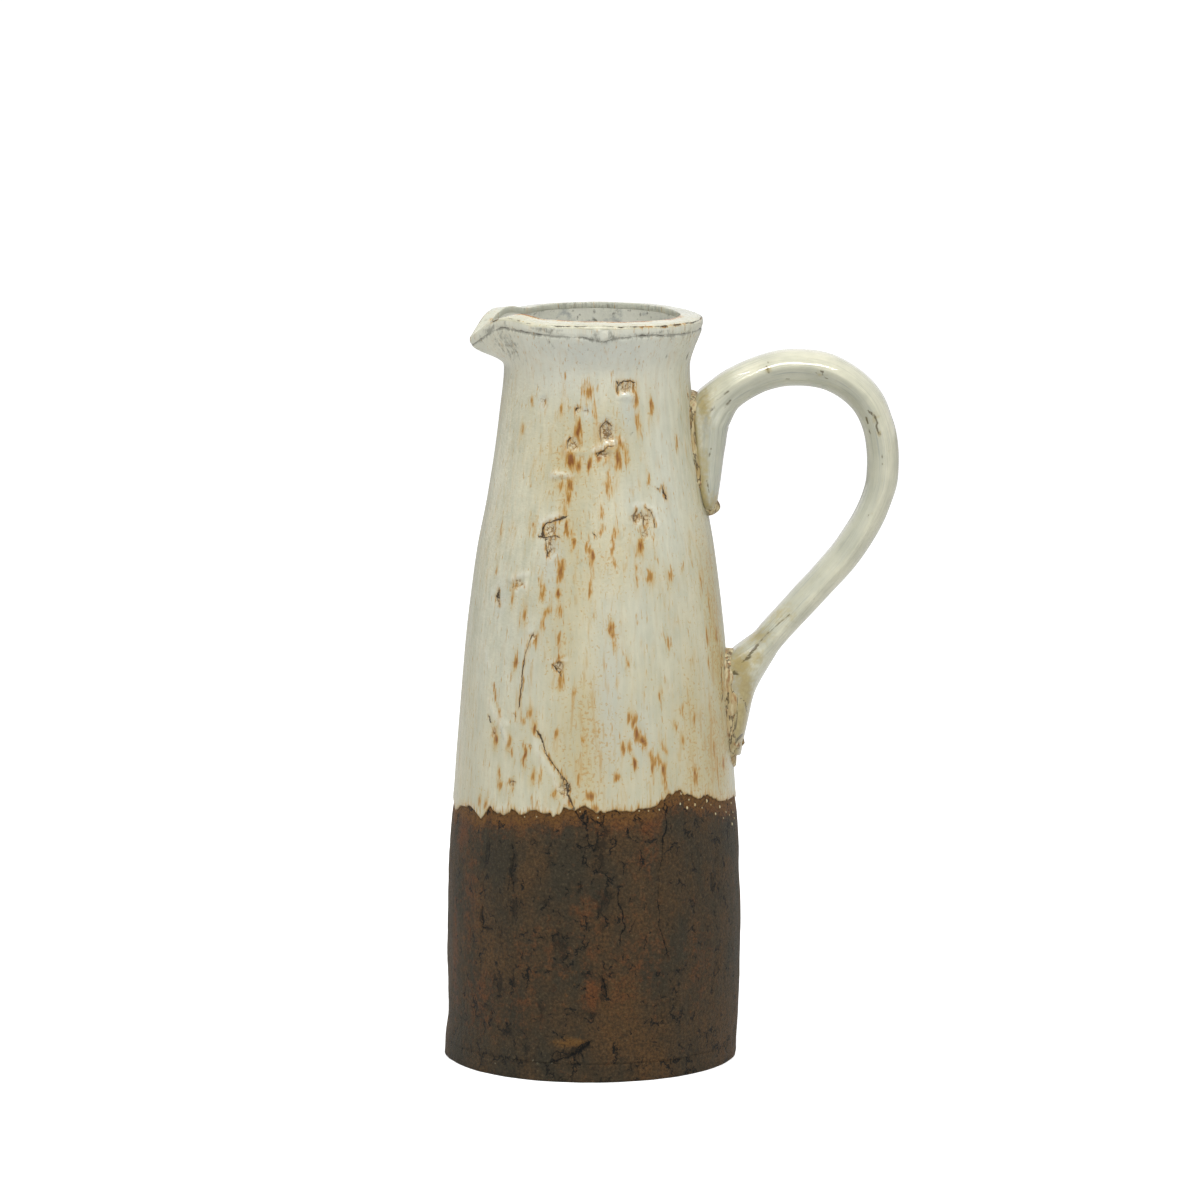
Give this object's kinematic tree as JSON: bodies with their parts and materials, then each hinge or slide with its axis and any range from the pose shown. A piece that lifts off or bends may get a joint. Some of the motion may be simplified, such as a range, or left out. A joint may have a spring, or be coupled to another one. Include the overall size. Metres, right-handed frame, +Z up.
{
  "type": "terracotta jug",
  "caption": "Tall hand-built terracotta jug, cream glaze over a bare dark foot, pulled spout and looped strap handle.",
  "frame": {"origin": "centre of the flat underside of the base slab, which is the face that the jug stands on", "axes": "+Z up to the mouth, +X from the base towards the handle, the spout points to -X, +Y completes a right-handed frame"},
  "size_m": [0.1936, 0.126, 0.3217],
  "materials": {
    "bare_clay": "matte",
    "luting_clay": "matte",
    "cream_glaze": "gloss"
  },
  "bodies": {
    "root": {"base_slab": "bare_clay", "floor_seam_coil": "bare_clay", "body_wall": "bare_clay", "neck_collar": "bare_clay", "rim_band": "bare_clay", "handle_strap": "bare_clay", "upper_handle_luting": "luting_clay", "lower_handle_luting": "luting_clay", "inner_glaze_liner": "cream_glaze", "outer_glaze_coat": "cream_glaze", "handle_glaze_coat": "cream_glaze"}
  },
  "joints": []
}
